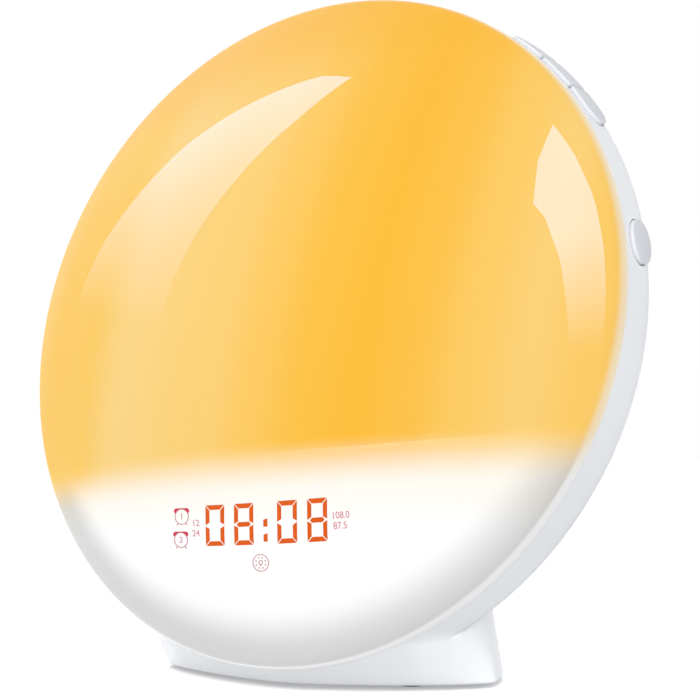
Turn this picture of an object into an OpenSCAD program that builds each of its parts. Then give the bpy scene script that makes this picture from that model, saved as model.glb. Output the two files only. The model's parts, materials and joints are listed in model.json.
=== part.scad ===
// Sunrise alarm clock: a round lamp and clock face, leaning back on a moulded foot.
// Millimetres, +Z up, the face looks along -Y. The origin is the middle of the
// clock's footprint box, on the surface that it stands on.

/* [Dome] */
// Radius of the dome at the seam with the rear housing
dome_r = 95; // [92:0.5:98]
// Height of the dome's crown above the seam plane
dome_rise = 26; // [25:0.5:28]
// Radius of the dome's rounded edge
dome_edge_r = 5; // [4:0.5:6]
// Wall of the translucent dome
dome_wall = 2.5; // [2:0.1:2.8]
// Depth of the lip that centres the dome in the housing
dome_lip = 1.5; // [1:0.1:1.8]

/* [Posture] */
// Lean of the face, back from upright, in degrees
lean = 10; // [8:0.5:12]
// Height of the seam's lowest point above the table
rim_lift = 6.2; // [5.5:0.1:8]

/* [Rear housing] */
// Wall of the rear housing and of its foot
housing_wall = 2.4; // [2:0.1:2.6]
// Depth of the band behind the seam, up to its rounded edge
band_depth = 7.25; // [7:0.25:9]
// How far the band widens from the seam to its edge
band_flare = 2.25; // [1:0.25:2.5]
// Radius of the band's rounded back edge
band_edge_r = 5; // [4:0.5:6]
// Depth of the flat back behind the seam plane
back_depth = 46; // [45:0.5:50]
// Radius of the flat part of the back
back_flat_r = 52; // [51:0.5:56]
// Radius that rounds the cone into the flat back
back_edge_r = 10; // [6:1:12]

/* [Foot] */
// Half of the foot's width
foot_half_w = 52.6; // [51:0.2:56]
// Depth of the foot in front of its widest line
foot_front = 14.6; // [13.5:0.1:17]
// Depth of the foot behind its widest line
foot_back = 36; // [34:0.5:41]
// How far the foot's front stands behind the seam's lowest point
foot_setback = 6.8; // [6:0.1:7.6]
// Angle at which the foot's front leans out towards the seam
foot_lean = 50.5; // [47:0.5:52]
// Height over which the foot's sides sweep in
foot_sweep_h = 45; // [42:1:48]
// How far each side sweeps in
foot_side_sweep = 2; // [1:0.5:4]
// Rounding of the foot's bottom edge
foot_fillet = 1; // [0.6:0.1:1.6]
// Gap between the foot's edge and the table
foot_gap = 1; // [0.6:0.1:1.4]

/* [Base] */
// Thickness of the base plate
base_t = 2.5; // [2:0.1:3]
// Radius of a rubber pad
pad_r = 5; // [4:0.25:6]
// Depth of the pocket that holds a pad
pad_pocket = 0.6; // [0.4:0.1:1]
// Half of the distance between the front pads
front_pad_x = 30; // [26:1:31]
// Half of the distance between the back pads
back_pad_x = 13; // [8:1:14]
// Height of the steel weight in the foot
weight_h = 9; // [6:1:11]

/* [Keys] */
// Width of every key across the band
key_w = 7; // [6:0.25:7.25]
// Distance from the seam to the keys' front edge
key_front = 1.9; // [1.8:0.1:2.3]
// How far a key stands above the band
key_proud = 0.9; // [0.8:0.1:1.6]
// How far a key travels
key_travel = 0.6; // [0.3:0.1:0.7]
// Gap around every key
key_gap = 0.25; // [0.2:0.05:0.35]
// Angle of the lower end of the row of three keys
row_start = 23.2; // [22.6:0.1:23.6]
// Angle that the lower key of the row takes
row_low_span = 7.6; // [7.3:0.1:8]
// Angle that the middle key of the row takes
row_mid_span = 7.6; // [7.3:0.1:8]
// Angle that the upper key of the row takes
row_high_span = 7.6; // [7.3:0.1:8]
// Angle of the middle of the single oval key
oval_angle = 3.2; // [2.8:0.1:3.6]
// Length of the single oval key
oval_len = 11.4; // [11:0.1:12.5]
// Half of the angle that the top key takes
top_half_span = 22.5; // [21.5:0.5:24]

/* [Display] */
// Sideways place of the display's middle
display_x = 4.7; // [0:0.1:6]
// Distance of the display's middle below the face's centre
display_drop = 60.5; // [60:0.5:62]
// Width of the display module
display_w = 54; // [50:1:56]
// Height of the display module
display_h = 14; // [12:0.5:14.5]
// Depth of the display module
display_d = 7; // [6:0.25:8]
// Height of the digits
digit_h = 10.6; // [8:0.1:11]
// Gap between the display module's middle and the inside of the dome
display_gap = 3.2; // [3:0.1:4]

/* [Electronics] */
// Thickness of the large circuit boards
board_t = 1.6; // [1.2:0.1:2]
// Radius of the round lamp board
lamp_board_r = 42; // [38:0.5:42.5]
// Side of a square lamp chip
lamp_chip = 5; // [3:0.5:5.5]
// Radius of the speaker's flange
speaker_r = 29; // [28:0.5:30]
// Radius of one grille hole
grille_hole_r = 1; // [0.7:0.1:1.3]
// Radius of the power socket's barrel
jack_r = 4; // [3.6:0.1:4.4]
// Radius of the coin cell
cell_r = 10; // [8:0.5:10.5]

/* [Hidden] */
$fn = 64;

// Clearances
slip = 0.3;          // around parts that drop into place
hole_slip = 0.05;    // around a screw in its pilot hole
cut = 1;             // how far a cutter runs past a face
arc_steps = 8;       // straight steps in one rounded corner of a turned profile

// The dome is a ball cap that runs into a rounded edge
edge_centre_r = dome_r - dome_edge_r;
ball_drop = (edge_centre_r * edge_centre_r - pow(dome_rise - dome_edge_r, 2))
    / (2 * (dome_rise - dome_edge_r));
ball_r = dome_rise + ball_drop;
cap_angle = atan2(edge_centre_r, ball_drop);

// The face's centre, from which everything in the head is placed
face_z = dome_r * cos(lean) + rim_lift;
foot_mid = -dome_r * sin(lean) + foot_setback + foot_front;
front_y = ball_drop * cos(lean) - ball_r;
back_y = max(foot_mid + foot_back,
    (back_depth - back_edge_r) * cos(lean) + back_flat_r * sin(lean) + back_edge_r);
face_y = -(front_y + back_y) / 2;

// The band behind the seam, its rounded edge and the cone to the flat back
band_angle = atan2(band_flare, band_depth);
band_end_r = dome_r + band_flare;
edge_c = [band_end_r - band_edge_r * cos(band_angle), -band_depth - band_edge_r * sin(band_angle)];
back_c = [back_flat_r, back_edge_r - back_depth];
cone_run = back_c - edge_c;
cone_angle = atan2(cone_run[1], cone_run[0]) + acos((band_edge_r - back_edge_r) / norm(cone_run));
inside_back = housing_wall - back_depth;

// Lip of the dome, inside the housing's front edge
lip_r = dome_r - housing_wall - slip;
lip_t = 2;

// Screws: [shank radius, shank length, head radius, head height]
small_screw = [1.0, 6, 2.2, 1.6];
case_screw = [1.5, 12, 2.8, 2.2];
base_screw = [1.5, 8, 2.8, 1.6];

// Rim bosses that take the case screws
rim_boss_r = 3.2;
rim_boss_at = dome_r - dome_wall - 6;
rim_boss_z = -8;
rim_post_r = 4.4;
rim_screw_angles = [56.5, 123.5, 215, 325];
case_seat_z = rim_boss_z - 6;

// The frame between the lamp side and the circuit side
frame_t = 1.6;
frame_back = -8;
frame_front = frame_back + frame_t;
frame_r = dome_r - 19;
frame_rim_z = -1.5;
frame_post_r = 3.6;
post_clear = 1.9;

// Lamp board
lamp_board_y = 10;
lamp_top = frame_front + board_t;
lamp_chip_h = 1.6;
lamp_screw_at = lamp_board_r - 6;
lamp_boss_r = 2.8;
lamp_boss_depth = 5;

// Main board, behind the frame
main_w = 100;
main_h = 56;
main_y = 8;
main_back = -20;
main_front = main_back + board_t;
main_post_r = 3;
main_posts = [for (x = [-1, 1], y = [-1, 1]) [x * (main_w / 2 - 6), main_y + y * (main_h / 2 - 6)]];

// Baffle that keeps the lamp's light off the display
baffle_t = 1.6;
baffle_y = -46;
baffle_half_w = 58;

// Posts that carry the frame, clear of the lamp board, the main board and the baffle
frame_post_angle = 42.4;
frame_post_reach = lamp_board_r + small_screw[2] + 2.5;
frame_post_x = frame_post_reach * cos(frame_post_angle);
frame_post_high = max(lamp_board_y + frame_post_reach * sin(frame_post_angle),
    main_y + main_h / 2 + frame_post_r + post_clear);
frame_post_low = baffle_y + baffle_t + small_screw[2] + 0.7;
frame_posts = [for (x = [-1, 1], y = [frame_post_low, frame_post_high]) [x * frame_post_x, y]];
frame_flat_r = norm([frame_post_x, frame_post_high]) + 8;

// Display, square to the dome in front of it
display_tilt = asin(display_drop / ball_r);
display_face = ball_r - dome_wall - display_gap;
display_board_w = display_w + 10;
display_board_h = display_h + 2.4;
display_board_back = display_face - display_d - board_t;
display_post_x = display_board_w / 2 - 4;
display_post_r = 2.6;
segment_h = 0.3;
digit_slant = 10;
digit_w = 5.6;
digit_pitch = 8.9;
colon_gap = 3.8;
segment_w = 1.15;
segment_gap = 0.16;

// Speaker on its seat ring at the back
speaker_y = 4;
speaker_seat = inside_back + 3;
speaker_flange_t = 1.5;
speaker_mouth_r = speaker_r - 6;
speaker_screw_at = speaker_r - 2.7;
basket_depth = 11;
basket_tail_r = 14;
basket_t = 1.8;
magnet_r = 16;
magnet_h = 5.5;
grille_rings = [[0, 1], [7, 6], [14, 12], [20, 18]];

// Power socket and antenna outlet
jack_at = [-34, -26];
jack_flange_r = jack_r + 1.5;
jack_flange_t = 1.2;
jack_body_end = inside_back + 13;
jack_nut_t = 2.4;
socket_r = jack_r - 1.1;
socket_pin_r = 1;
grommet_at = [34, -26];
grommet_r = 3.4;
grommet_hole_r = 1.1;
grommet_lap = 0.8;

// Keys: a switch board stands square to the way its keys move
row_end = row_start + row_low_span + row_mid_span + row_high_span;
row_angle = (row_start + row_end) / 2;
row_edges = [row_start, row_start + row_low_span, row_end - row_high_span, row_end];
key_top_r = dome_r + key_proud;
key_back = key_front + key_w;
key_mid_z = -key_front - key_w / 2;
key_foot_r = dome_r - 4;
key_lip = 1;
key_lip_t = 1.1;
key_end = 0.48 * oval_len;
key_joint_r = 1.4;
stem_r = 1.5;
key_board_t = 1.2;
key_board_at = dome_r - 15.5;
key_board_w = 9;
switch_side = 6;
switch_h = 3.5;
switch_base = key_board_at + key_board_t;
plunger_r = 1.7;
plunger_slip = 0.15;
plunger_out = 1.5;
plunger_in = 1;
plunger_rest = 0.4;
plunger_top = switch_base + switch_h + plunger_out;
row_board_half = dome_r * sin((row_end - row_start) / 2) + 1;
oval_board_half = oval_len / 2 + 1.4;
top_board_half = 26;
top_stem_y = 18;
guide_t = 3;
guide_lap = 1.2;
guide_back = 1.8;
guide_front = 1.8;

// Foot and base
foot_steps = 64;
foot_front_power = 1.4;
foot_back_power = 2;
foot_lean_power = 1.8;
neck_inset = 2;
plate_top = foot_gap + base_t;
plate_inset = foot_fillet + housing_wall + slip;
base_boss_r = 3.5;
base_boss_h = 12;
foot_rib = 20;
front_boss_in = 14.2;
front_boss_back = 5;
back_boss_in = 28.2;
back_boss_back = 15;
back_pad_in = 4.3;
weight_clear = 3.5;
weight_depth = 15.5;
weight_nose = 4.9;
front_boss = [foot_half_w - front_boss_in, foot_mid + front_boss_back];
back_boss = [foot_half_w - back_boss_in, foot_mid + back_boss_back];
base_boss_at = [for (p = [front_boss, back_boss], s = [-1, 1]) [s * p[0], p[1]]];
front_pad = [front_pad_x, foot_mid];
back_pad = [back_pad_x, foot_mid + foot_back - plate_inset - pad_r - back_pad_in];
pad_at = [for (p = [front_pad, back_pad], s = [-1, 1]) [s * p[0], p[1]]];
weight_half_w = front_boss[0] - base_boss_r - weight_clear;
weight_front = foot_mid - foot_front + plate_inset + weight_nose;

// ---------- Frames ----------

// Places its children in the face's frame: X right, Y up the face, Z out of it
module on_face() {
    translate([0, face_y, face_z]) rotate([90 - lean, 0, 0]) children();
}

// Places its children under the head: Y counts back from the face's centre
module on_foot() {
    translate([0, face_y, 0]) children();
}

// Places its children square to the dome over the display, Z out of the ball's centre
module on_display() {
    on_face() translate([0, 0, -ball_drop]) rotate([display_tilt, 0, 0])
        translate([display_x, 0, 0]) children();
}

// Places its children at an angle round the face: X outwards, Y along the rim
module at_rim(angle) {
    rotate([0, 0, angle]) children();
}

// ---------- Shapes that repeat ----------

// Upright cylinder between two heights
module drum(r, low, high) {
    translate([0, 0, low]) cylinder(r = r, h = high - low);
}

// Cylinder along X between two places
module rod_x(r, low, high) {
    translate([low, 0, 0]) rotate([0, 90, 0]) cylinder(r = r, h = high - low);
}

// Box between two corners
module block(low, high) {
    translate(low) cube(high - low);
}

// Pan head screw that points down from the plane z = 0
module screw(size) {
    difference() {
        union() {
            drum(size[0] - hole_slip, -size[1], 0.5);
            drum(size[2], 0, size[3]);
        }
        for (a = [0, 90]) rotate([0, 0, a])
            block([-size[2] * 0.6, -0.3, size[3] * 0.55], [size[2] * 0.6, 0.3, size[3] + cut]);
    }
}

// Rectangle with rounded corners
module soft_rectangle(length, width, corner) {
    polygon([for (q = [0:3], i = [0:arc_steps]) let (
            a = 90 * q + 90 * i / arc_steps,
            sx = (q == 0 || q == 3) ? 1 : -1,
            sy = (q < 2) ? 1 : -1)
        [sx * (length / 2 - corner) + corner * cos(a), sy * (width / 2 - corner) + corner * sin(a)]]);
}

// Strip with oval ends of a given length
module long_oval(length, width, end) {
    polygon([for (s = [1, -1], i = [-arc_steps:arc_steps]) let (a = 90 * i / arc_steps)
        s * [length / 2 - end + end * cos(a), width / 2 * sin(a)]]);
}

// Strip of even thickness along points [y, z], drawn in the Y-Z plane
module ribbon(points, width, thickness) {
    last = len(points) - 1;
    side = [for (i = [0:last]) let (
            d = points[min(i + 1, last)] - points[max(i - 1, 0)],
            n = [-d[1], d[0]] / norm(d))
        n * thickness / 2];
    rotate([90, 0, 90]) translate([0, 0, -width / 2]) linear_extrude(width)
        polygon(concat(
            [for (i = [0:last]) points[i] + side[i]],
            [for (i = [last:-1:0]) points[i] - side[i]]));
}

// ---------- Dome and housing shapes ----------

// Outline of the dome at a depth under its surface, from the seam to the crown
function dome_outline(depth) = concat(
    [for (i = [0:arc_steps]) let (a = (90 - cap_angle) * i / arc_steps)
        [edge_centre_r + (dome_edge_r - depth) * cos(a), (dome_edge_r - depth) * sin(a)]],
    [for (i = [1:2 * arc_steps]) let (a = cap_angle * (1 - i / (2 * arc_steps)))
        [(ball_r - depth) * sin(a), (ball_r - depth) * cos(a) - ball_drop]]);

// Outline of the head behind the seam at a depth under its surface
function head_outline(depth) = concat(
    [[dome_r - depth / cos(band_angle), 0]],
    [for (i = [0:arc_steps]) let (a = band_angle + (cone_angle - band_angle) * i / arc_steps)
        edge_c + (band_edge_r - depth) * [cos(a), sin(a)]],
    [for (i = [0:arc_steps]) let (a = cone_angle + (-90 - cone_angle) * i / arc_steps)
        back_c + (back_edge_r - depth) * [cos(a), sin(a)]],
    [[0, depth - back_depth]]);

// Solid head behind the seam, at a depth under its surface; rise opens its front
module head_solid(depth, rise) {
    outline = head_outline(depth);
    rotate_extrude() polygon(concat([[0, rise], [outline[0][0], rise]], outline));
}

// How far the foot's outline is drawn in at a height, by its bottom rounding
function foot_round(z) = let (up = max(0, foot_fillet - (z - foot_gap)))
    foot_fillet - sqrt(pow(foot_fillet, 2) - pow(up, 2));

// How far the foot's back sweeps in, so that its neck ends inside the flat back
neck_z = neck_inset - back_depth;
neck_v = (foot_sweep_h - face_z - neck_z * sin(lean)) / cos(lean);
foot_back_sweep = foot_mid + foot_back - (neck_v * sin(lean) - neck_z * cos(lean));

// Share of the sweep that is reached at a height
function foot_sweep(z) = 1 - pow(1 - min(1, (z - foot_gap) / (foot_sweep_h - foot_gap)), 2);

// One point of the foot's outline, at an angle from its widest line, with its front pushed forward
function foot_point(a, half_w, front, back, forward) = let (
        power = 2 / (sin(a) < 0 ? foot_front_power : foot_back_power),
        depth = sin(a) < 0 ? front : back,
        push = sin(a) < 0 ? forward * (1 - pow(1 + sin(a), foot_lean_power)) : 0)
    [half_w * sign(cos(a)) * pow(abs(cos(a)), power), depth * sign(sin(a)) * pow(abs(sin(a)), power) - push];

// Foot's outline at a height, drawn in by an inset; only the outer surface leans, its inside is upright
function foot_outline(z, inset) = let (
        base_in = foot_round(z) + inset,
        half_w = foot_half_w - base_in - foot_side_sweep * foot_sweep(z),
        back = foot_back - base_in - foot_back_sweep * foot_sweep(z),
        forward = inset > 0 ? 0 : (z - foot_gap) * tan(foot_lean))
    [for (i = [0:foot_steps - 1])
        foot_point(360 * i / foot_steps, half_w, foot_front - base_in, back, forward)];

// Heights at which the foot's outline is taken
foot_levels = concat(
    [for (i = [0:3]) foot_gap + foot_fillet * (1 - cos(30 * i))],
    [for (i = [1:4]) foot_gap + foot_fillet + (foot_sweep_h - foot_gap - foot_fillet) * i / 4]);

// Closed body through the foot's outlines, with its lowest outline pushed down by extra
module foot_solid(inset, extra) {
    levels = concat(extra > 0 ? [foot_gap - extra] : [], foot_levels);
    points = [for (z = levels) let (outline = foot_outline(max(z, foot_gap), inset))
        for (p = outline) [p[0], p[1] + foot_mid, z]];
    top = (len(levels) - 1) * foot_steps;
    sides = [for (k = [0:len(levels) - 2], i = [0:foot_steps - 1]) let (
            a = k * foot_steps + i,
            b = k * foot_steps + (i + 1) % foot_steps)
        each [[a, b + foot_steps, b], [a, a + foot_steps, b + foot_steps]]];
    polyhedron(points, concat(
        [[for (i = [0:foot_steps - 1]) i]],
        [[for (i = [foot_steps - 1:-1:0]) top + i]],
        sides));
}

// ---------- Key shapes, in the frame of their direction of travel ----------

// Ring between the keys' inner face and their outer face, which follows the band
module key_shell(grow) {
    slope = band_flare / band_depth;
    front = -key_front + grow;
    back = -key_back - grow;
    rotate_extrude() polygon([
        [key_foot_r, front], [key_top_r - slope * front, front],
        [key_top_r - slope * back, back], [key_foot_r, back]]);
}

// Turns a flat outline into a straight block along the key's direction of travel
module key_block() {
    translate([dome_r / 2, 0, key_mid_z]) rotate([0, 90, 0]) rotate([0, 0, 90])
        linear_extrude(dome_r) children();
}

// Straight block with oval ends that a key's outline is cut from
module key_prism(length, grow) {
    key_block() long_oval(length + 2 * grow, key_w + 2 * grow, key_end + grow);
}

// Cutter for a key's opening through the band
module key_opening(length) {
    intersection() {
        key_prism(length, key_gap);
        difference() {
            drum(2 * dome_r, -3 * key_back, cut);
            drum(key_foot_r - key_travel - cut, -4 * key_back, 2 * cut);
        }
    }
}

// Wedge between two angles round the face
module key_wedge(from, to) {
    reach = 2 * dome_r;
    translate([0, 0, -2 * key_back]) linear_extrude(3 * key_back)
        polygon([[0, 0], [reach * cos(from), reach * sin(from)], [reach * cos(to), reach * sin(to)]]);
}

// Ring behind the band that the keys' lips are cut from
module key_lip_ring() {
    rotate_extrude() polygon([
        [key_foot_r, 1 - key_back], [key_foot_r, -key_back - key_lip],
        [key_foot_r + key_lip_t, -key_back - key_lip], [key_foot_r + key_lip_t, 1 - key_back]]);
}

// Stem from a key down to its plunger, at a place along the rim
module key_stem(y) {
    translate([0, y, key_mid_z]) rod_x(stem_r, plunger_top, key_foot_r + 1.5);
}

row_len = 2 * dome_r * sin((row_end - row_start) / 2) + 0.8;
row_gap = 0.6 * key_gap;
lip_inset_angle = 0.6;
row_overrun = 5;
function row_edge_y(i) = dome_r * sin(row_edges[i] - row_angle);
function row_middle(i) = (row_edges[i] + row_edges[i + 1]) / 2 - row_angle;
function row_stem_y(i) = key_foot_r * sin(row_middle(i));

// One key of the row of three
module row_key(i) {
    low = row_edge_y(i) + (i > 0 ? row_gap : -row_overrun);
    high = row_edge_y(i + 1) - (i < 2 ? row_gap : -row_overrun);
    on_face() at_rim(row_angle) union() {
        intersection() {
            key_shell(0);
            key_prism(row_len, 0);
            key_block() translate([(low + high) / 2, 0])
                soft_rectangle(high - low, key_w + key_gap, key_joint_r);
        }
        intersection() {
            key_lip_ring();
            rotate([0, 0, -row_angle])
                key_wedge(row_edges[i] + lip_inset_angle, row_edges[i + 1] - lip_inset_angle);
        }
        key_stem(row_stem_y(i));
    }
}

// A key that stands by itself, with one stem for each place in stems
module lone_key(angle, length, stems) {
    half = asin(length / 2 / dome_r) - lip_inset_angle;
    on_face() at_rim(angle) union() {
        intersection() {
            key_shell(0);
            key_prism(length, 0);
        }
        intersection() {
            key_lip_ring();
            key_wedge(-half, half);
        }
        for (y = stems) key_stem(y);
    }
}

// Small circuit board behind the keys
module key_board(angle, half) {
    on_face() at_rim(angle) block(
        [key_board_at, -half, key_mid_z - key_board_w / 2],
        [key_board_at + key_board_t, half, key_mid_z + key_board_w / 2]);
}

// Bodies of the push switches on a key board
module switch_bodies(angle, places) {
    on_face() at_rim(angle) for (y = places) translate([0, y, key_mid_z]) difference() {
        block([switch_base, -switch_side / 2, -switch_side / 2],
            [switch_base + switch_h, switch_side / 2, switch_side / 2]);
        rod_x(plunger_r + plunger_slip, switch_base + switch_h - plunger_in - key_travel - plunger_rest,
            switch_base + switch_h + cut);
    }
}

// Plungers of the push switches, which ride with their key
module plungers(angle, places) {
    on_face() at_rim(angle) for (y = places) translate([0, y, key_mid_z])
        rod_x(plunger_r, switch_base + switch_h - plunger_in, plunger_top);
}

// Pair of slotted columns that a key board slides into, without the slots
module board_guides(angle, half) {
    at_rim(angle) for (s = [-1, 1]) scale_y(s)
        block([key_board_at - guide_back, half - guide_lap, -back_depth],
            [switch_base + guide_front, half - guide_lap + guide_t, key_mid_z + key_board_w / 2 - 1.5]);
}

// Slots for a key board, open to the front
module board_slots(angle, half) {
    at_rim(angle) block(
        [key_board_at - hole_slip, -half - hole_slip, key_mid_z - key_board_w / 2],
        [key_board_at + key_board_t + hole_slip, half + hole_slip, cut]);
}

// Mirrors its children across the X-Z plane when the sign is negative
module scale_y(s) {
    if (s < 0) mirror([0, 1, 0]) children();
    else children();
}

// Draws its children on the right, or mirrored on the left
module side(s) {
    if (s < 0) mirror([1, 0, 0]) children();
    else children();
}

// ---------- Casing ----------

module diffuser_dome() {
    color("#ffc34a") on_face() difference() {
        union() {
            rotate_extrude() polygon(concat(
                dome_outline(0), [for (i = [3 * arc_steps:-1:0]) dome_outline(dome_wall)[i]]));
            difference() {
                drum(lip_r, -dome_lip, dome_edge_r - dome_wall - 0.5);
                drum(lip_r - lip_t, -dome_lip - cut, dome_edge_r);
            }
            intersection() {
                for (a = rim_screw_angles) at_rim(a) translate([rim_boss_at, 0, 0])
                    drum(rim_boss_r, rim_boss_z, dome_edge_r + 2);
                union() {
                    rotate_extrude() polygon(concat([[0, 0]], dome_outline(dome_wall / 2)));
                    drum(dome_r, rim_boss_z, 0);
                }
            }
        }
        for (a = rim_screw_angles) at_rim(a) translate([rim_boss_at, 0, 0])
            drum(case_screw[0], rim_boss_z - cut, 0);
    }
}

// Posts and guides inside the housing, before their holes
module housing_inside() {
    intersection() {
        union() {
            for (a = rim_screw_angles) at_rim(a) translate([rim_boss_at, 0, 0])
                drum(rim_post_r, -back_depth, rim_boss_z);
            for (p = frame_posts) translate(p) drum(frame_post_r, -back_depth, frame_back);
            for (p = main_posts) translate(p) drum(main_post_r, -back_depth, main_back);
            translate([0, speaker_y, 0]) difference() {
                drum(speaker_r + 1.5, -back_depth, speaker_seat);
                drum(speaker_mouth_r, inside_back, speaker_seat + cut);
            }
            for (s = [-1, 1]) side(s) {
                board_guides(row_angle, row_board_half);
                board_guides(oval_angle, oval_board_half);
            }
            board_guides(90, top_board_half);
        }
        head_solid(housing_wall / 2, 0);
    }
}

// Openings for the keys, through the band
module key_openings() {
    for (s = [-1, 1]) side(s) {
        at_rim(row_angle) key_opening(row_len);
        at_rim(oval_angle) key_opening(oval_len);
    }
    at_rim(90) key_opening(top_key_len);
}

// Holes for screws, the socket, the antenna outlet and the sound
module housing_holes() {
    for (a = rim_screw_angles) at_rim(a) translate([rim_boss_at, 0, 0]) {
        drum(case_screw[0] + slip / 2, case_seat_z - cut, rim_boss_z + cut);
        drum(case_screw[2] + slip, -back_depth, case_seat_z);
    }
    for (p = frame_posts) translate(p)
        drum(small_screw[0], frame_front - small_screw[1] - 1, frame_back + cut);
    for (p = main_posts) translate(p) drum(small_screw[0], main_front - small_screw[1] - 1, main_back + cut);
    translate([0, speaker_y, 0]) for (a = [45:90:315]) rotate([0, 0, a]) translate([speaker_screw_at, 0, 0])
        drum(small_screw[0], speaker_seat - 5, speaker_seat + cut);
    translate([0, speaker_y, 0]) for (ring = grille_rings, i = [0:ring[1] - 1])
        rotate([0, 0, 360 * i / ring[1]]) translate([ring[0], 0, 0])
            drum(grille_hole_r, -back_depth - cut, inside_back + cut);
    translate(jack_at) {
        drum(jack_r + slip / 2, -back_depth - cut, inside_back + cut);
        drum(jack_flange_r + slip, -back_depth - cut, jack_flange_t - back_depth);
    }
    translate(grommet_at) drum(grommet_r - grommet_lap, -back_depth - cut, inside_back + cut);
    for (s = [-1, 1]) side(s) {
        board_slots(row_angle, row_board_half);
        board_slots(oval_angle, oval_board_half);
    }
    board_slots(90, top_board_half);
}

// Bosses in the foot that take the base screws, tied to its wall by ribs
module foot_bosses() {
    intersection() {
        for (p = base_boss_at) translate(p) {
            drum(base_boss_r, plate_top, plate_top + base_boss_h);
            block([min(0, sign(p[0]) * foot_rib), -1, plate_top],
                [max(0, sign(p[0]) * foot_rib), 1, plate_top + base_boss_h]);
        }
        foot_solid(housing_wall / 2, 0);
    }
}

module rear_housing() {
    color("#eef0f4") difference() {
        union() {
            difference() {
                union() {
                    on_face() head_solid(0, 0);
                    difference() {
                        on_foot() foot_solid(0, 0);
                        on_face() block([-dome_r, -dome_r, 0], [dome_r, dome_r, dome_r]);
                    }
                }
                on_face() head_solid(housing_wall, cut);
                on_foot() foot_solid(housing_wall, cut);
            }
            on_face() housing_inside();
            on_foot() foot_bosses();
        }
        on_face() key_openings();
        on_face() housing_holes();
        on_foot() for (p = base_boss_at) translate(p)
            drum(base_screw[0], plate_top - cut, plate_top + base_boss_h - 2);
    }
}

module base_plate() {
    color("#e2e4e8") on_foot() difference() {
        translate([0, foot_mid, foot_gap]) linear_extrude(base_t)
            polygon(foot_outline(foot_gap, housing_wall + slip));
        for (p = pad_at) translate(p) drum(pad_r + slip / 2, 0, foot_gap + pad_pocket);
        for (p = base_boss_at) translate(p) {
            drum(base_screw[0] + slip / 2, 0, plate_top + cut);
            drum(base_screw[2] + slip, 0, foot_gap + base_screw[3]);
        }
    }
}

module foot_pads() {
    color("#3a3a3c") on_foot() for (p = pad_at) translate(p) drum(pad_r, 0, foot_gap + pad_pocket);
}

module base_screws() {
    color("silver") on_foot() for (p = base_boss_at) translate([p[0], p[1], foot_gap + base_screw[3]])
        rotate([180, 0, 0]) screw(base_screw);
}

module case_screws() {
    color("silver") on_face() for (a = rim_screw_angles) at_rim(a) translate([rim_boss_at, 0, case_seat_z])
        rotate([180, 0, 0]) screw(case_screw);
}

module ballast_weight() {
    color("#8d9096") on_foot() block([-weight_half_w, weight_front, plate_top],
        [weight_half_w, weight_front + weight_depth, plate_top + weight_h]);
}

// ---------- Lamp ----------

lamp_screws = [for (a = [90, 210, 330]) [lamp_screw_at * cos(a), lamp_board_y + lamp_screw_at * sin(a)]];
header_at = [22, lamp_board_y];
header_w = 12;
header_t = 3;
ribbon_x = -4;
ribbon_w = 8;

module mid_frame() {
    color("white") difference() {
        union() {
            on_face() rotate_extrude() polygon([
                [0, frame_back], [frame_flat_r, frame_back], [frame_r, frame_rim_z - frame_t],
                [frame_r, frame_rim_z], [frame_flat_r, frame_front], [0, frame_front]]);
            on_face() for (p = lamp_screws) translate(p)
                drum(lamp_boss_r, frame_back - lamp_boss_depth, frame_front);
            on_display() for (s = [-1, 1]) translate([s * display_post_x, 0, 0])
                drum(display_post_r, (ball_drop + frame_back + frame_t / 2) / cos(display_tilt),
                    display_board_back);
        }
        on_face() for (p = lamp_screws) translate(p)
            drum(small_screw[0], frame_back - lamp_boss_depth + 1, frame_front + cut);
        on_face() for (p = frame_posts) translate(p)
            drum(small_screw[0] + slip / 2, frame_back - cut, frame_front + cut);
        on_display() for (s = [-1, 1]) translate([s * display_post_x, 0, 0])
            drum(small_screw[0], display_board_back + board_t - small_screw[1] - 1, display_board_back + cut);
        on_face() translate(header_at) block([-header_w / 2 - slip, -header_t / 2 - slip, frame_back - cut],
            [header_w / 2 + slip, header_t / 2 + slip, frame_front + cut]);
        on_face() block([ribbon_x - ribbon_w / 2 - 1, baffle_y - 10, frame_back - cut],
            [ribbon_x + ribbon_w / 2 + 1, baffle_y - 2, frame_front + cut]);
    }
}

module light_baffle() {
    color("white") on_face() intersection() {
        block([-baffle_half_w, baffle_y, frame_front], [baffle_half_w, baffle_y + baffle_t, dome_rise]);
        translate([0, 0, -ball_drop]) sphere(r = ball_r - dome_wall - slip, $fn = 96);
        union() {
            drum(frame_flat_r, frame_front, frame_front + 6);
            drum(edge_centre_r - 2, frame_front + 5, dome_rise);
        }
    }
}

module lamp_board() {
    color("#f4f4ee") on_face() translate([0, lamp_board_y, 0]) difference() {
        drum(lamp_board_r, frame_front, lamp_top);
        for (p = lamp_screws) translate([p[0], p[1] - lamp_board_y, 0])
            drum(small_screw[0] + slip / 2, frame_front - cut, lamp_top + cut);
    }
}

module lamp_chips() {
    color("#ffe9a8") on_face() translate([0, lamp_board_y, 0])
        for (ring = [[13, 5, 0], [27, 12, 15]], i = [0:ring[1] - 1])
            rotate([0, 0, ring[2] + 360 * i / ring[1]]) translate([ring[0], 0, 0])
                block([-lamp_chip / 2, -lamp_chip / 2, lamp_top],
                    [lamp_chip / 2, lamp_chip / 2, lamp_top + lamp_chip_h]);
}

module lamp_header() {
    color("#2a2a2c") on_face() translate(header_at)
        block([-header_w / 2, -header_t / 2, main_front], [header_w / 2, header_t / 2, frame_front]);
}

// ---------- Display ----------

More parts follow.
